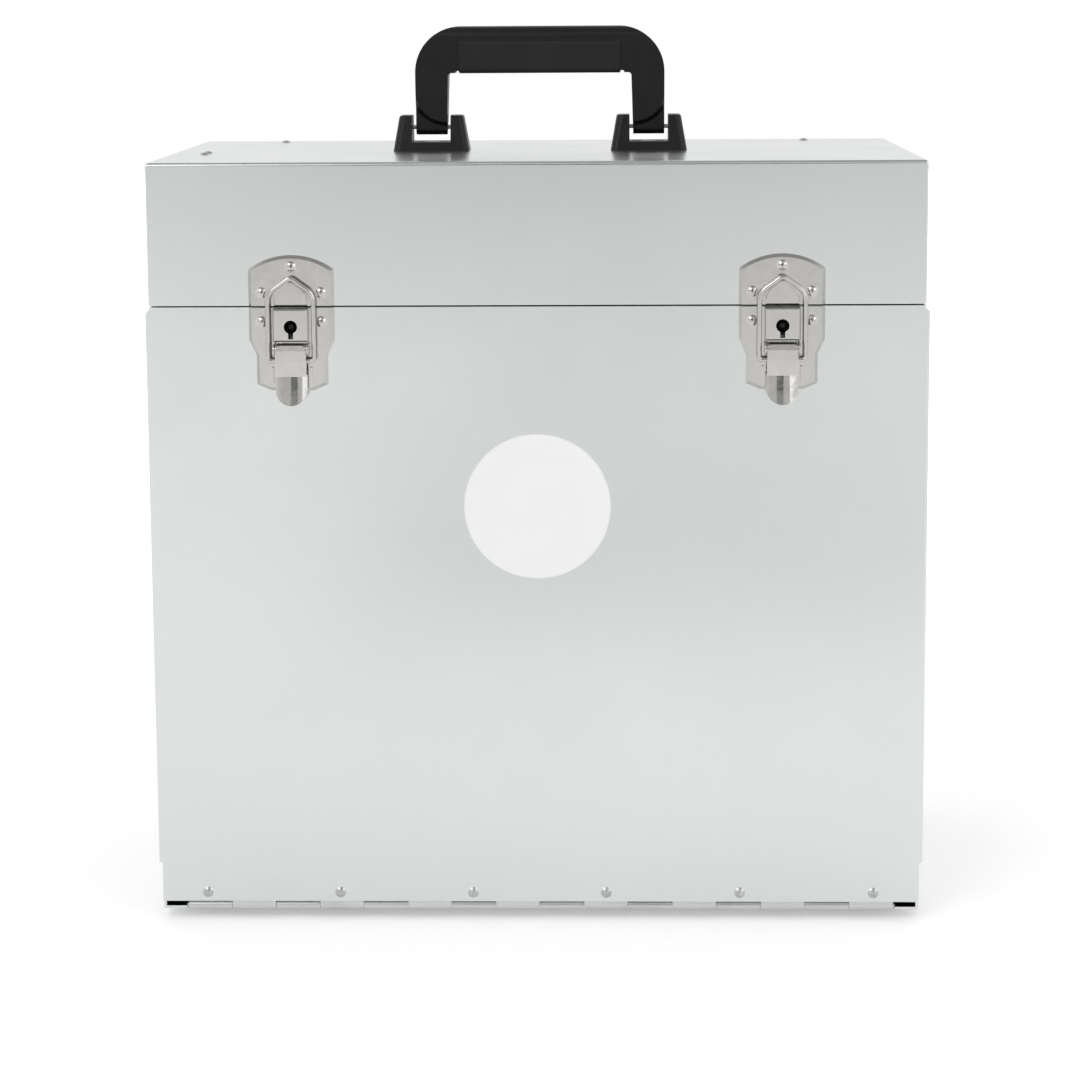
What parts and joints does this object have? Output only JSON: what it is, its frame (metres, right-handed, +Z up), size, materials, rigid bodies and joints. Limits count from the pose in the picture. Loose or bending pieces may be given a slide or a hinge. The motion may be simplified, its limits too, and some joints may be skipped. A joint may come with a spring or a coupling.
{
  "type": "tack box",
  "caption": "Upright sheet-aluminium tack box with a hinged lid, drop-down front door, inner drawers, draw latches and a folding top handle.",
  "frame": {"origin": "centre of the box's footprint on the surface it stands on", "axes": "+Z up, +Y to the back with the hinged lid's hinge, +X to the right seen from the front"},
  "size_m": [0.439, 0.2574, 0.5099],
  "materials": {
    "body_sheet": "smooth satin",
    "inner_sheet": "plain mill finish",
    "hinge_aluminium": "plain",
    "rivet_aluminium": "plain",
    "nickel_plate": "bright plated",
    "steel": "plain",
    "handle_plastic": "fine satin",
    "grip_rubber": "matt",
    "foot_rubber": "matt",
    "badge": "smooth"
  },
  "bodies": {
    "case": {"case_shell": "body_sheet", "well_tray": "inner_sheet", "drawer_rails": "inner_sheet", "rubber_feet": "foot_rubber", "foot_screws": "steel", "door_hinge_case_leaf": "hinge_aluminium", "door_hinge_pin": "steel", "floor_hinge_rivets": "rivet_aluminium", "lid_hinge_case_leaf": "hinge_aluminium", "lid_hinge_case_rivets": "rivet_aluminium", "lid_hinge_pin": "steel"},
    "door": {"door_panel": "body_sheet", "door_hinge_door_leaf": "hinge_aluminium", "door_hinge_rivets": "rivet_aluminium", "round_badge": "badge", "left_latch_base": "nickel_plate", "right_latch_base": "nickel_plate", "left_lock_plug": "nickel_plate", "right_lock_plug": "nickel_plate", "left_latch_pin": "nickel_plate", "right_latch_pin": "nickel_plate", "latch_base_rivets": "nickel_plate"},
    "lid": {"lid_shell": "body_sheet", "lid_stiffener": "body_sheet", "lid_card_clip": "body_sheet", "lid_top_rivets": "rivet_aluminium", "lid_hinge_lid_leaf": "hinge_aluminium", "lid_hinge_lid_rivets": "rivet_aluminium", "left_strike": "nickel_plate", "right_strike": "nickel_plate", "strike_rivets": "nickel_plate", "handle_backing_plate": "body_sheet", "left_handle_bracket": "handle_plastic", "right_handle_bracket": "handle_plastic", "left_handle_pin": "steel", "right_handle_pin": "steel", "handle_bracket_rivets": "rivet_aluminium"},
    "handle": {"handle_bow": "handle_plastic", "grip_pad": "grip_rubber"},
    "left_lever": {"left_latch_lever": "nickel_plate"},
    "right_lever": {"right_latch_lever": "nickel_plate"},
    "left_bail": {"left_latch_wire": "nickel_plate"},
    "right_bail": {"right_latch_wire": "nickel_plate"},
    "drawer_1": {"drawer_1_pan": "inner_sheet", "drawer_1_pull": "inner_sheet", "drawer_1_rivets": "rivet_aluminium"},
    "drawer_2": {"drawer_2_pan": "inner_sheet", "drawer_2_pull": "inner_sheet", "drawer_2_rivets": "rivet_aluminium"},
    "drawer_3": {"drawer_3_pan": "inner_sheet", "drawer_3_pull": "inner_sheet", "drawer_3_rivets": "rivet_aluminium"}
  },
  "joints": [
    {"name": "lid_hinge", "type": "hinge", "parent": "case", "child": "lid", "pos_m": [0, 0.12595, 0.3561], "axis": [-1, 0, 0], "range_deg": [0, 105]},
    {"name": "door_hinge", "type": "hinge", "parent": "case", "child": "door", "pos_m": [0, -0.11355, 0.0076], "axis": [1, 0, 0], "range_deg": [0, 88]},
    {"name": "handle_fold", "type": "hinge", "parent": "lid", "child": "handle", "pos_m": [0, 0.00265, 0.4504], "axis": [1, 0, 0], "range_deg": [-88, 88]},
    {"name": "left_lever_turn", "type": "hinge", "parent": "door", "child": "left_lever", "pos_m": [-0.137, -0.12485, 0.3324], "axis": [-1, 0, 0], "range_deg": [0, 110]},
    {"name": "left_bail_swing", "type": "hinge", "parent": "left_lever", "child": "left_bail", "pos_m": [-0.137, -0.12405, 0.3262], "axis": [1, 0, 0], "range_deg": [0, 127]},
    {"name": "right_lever_turn", "type": "hinge", "parent": "door", "child": "right_lever", "pos_m": [0.137, -0.12485, 0.3324], "axis": [-1, 0, 0], "range_deg": [0, 110]},
    {"name": "right_bail_swing", "type": "hinge", "parent": "right_lever", "child": "right_bail", "pos_m": [0.137, -0.12405, 0.3262], "axis": [1, 0, 0], "range_deg": [0, 127]},
    {"name": "drawer_1_slide", "type": "slide", "parent": "case", "child": "drawer_1", "axis": [0, -1, 0], "range_m": [0, 0.2]},
    {"name": "drawer_2_slide", "type": "slide", "parent": "case", "child": "drawer_2", "axis": [0, -1, 0], "range_m": [0, 0.2]},
    {"name": "drawer_3_slide", "type": "slide", "parent": "case", "child": "drawer_3", "axis": [0, -1, 0], "range_m": [0, 0.2]}
  ],
  "couplings": [
    {"joint": "left_bail_swing", "follows": "left_lever_turn", "ratio": 1.15},
    {"joint": "right_bail_swing", "follows": "right_lever_turn", "ratio": 1.15},
    {"joint": "drawer_1_slide", "follows": "door_hinge", "m_per_rad": 0.13},
    {"joint": "drawer_2_slide", "follows": "door_hinge", "m_per_rad": 0.13},
    {"joint": "drawer_3_slide", "follows": "door_hinge", "m_per_rad": 0.13}
  ]
}
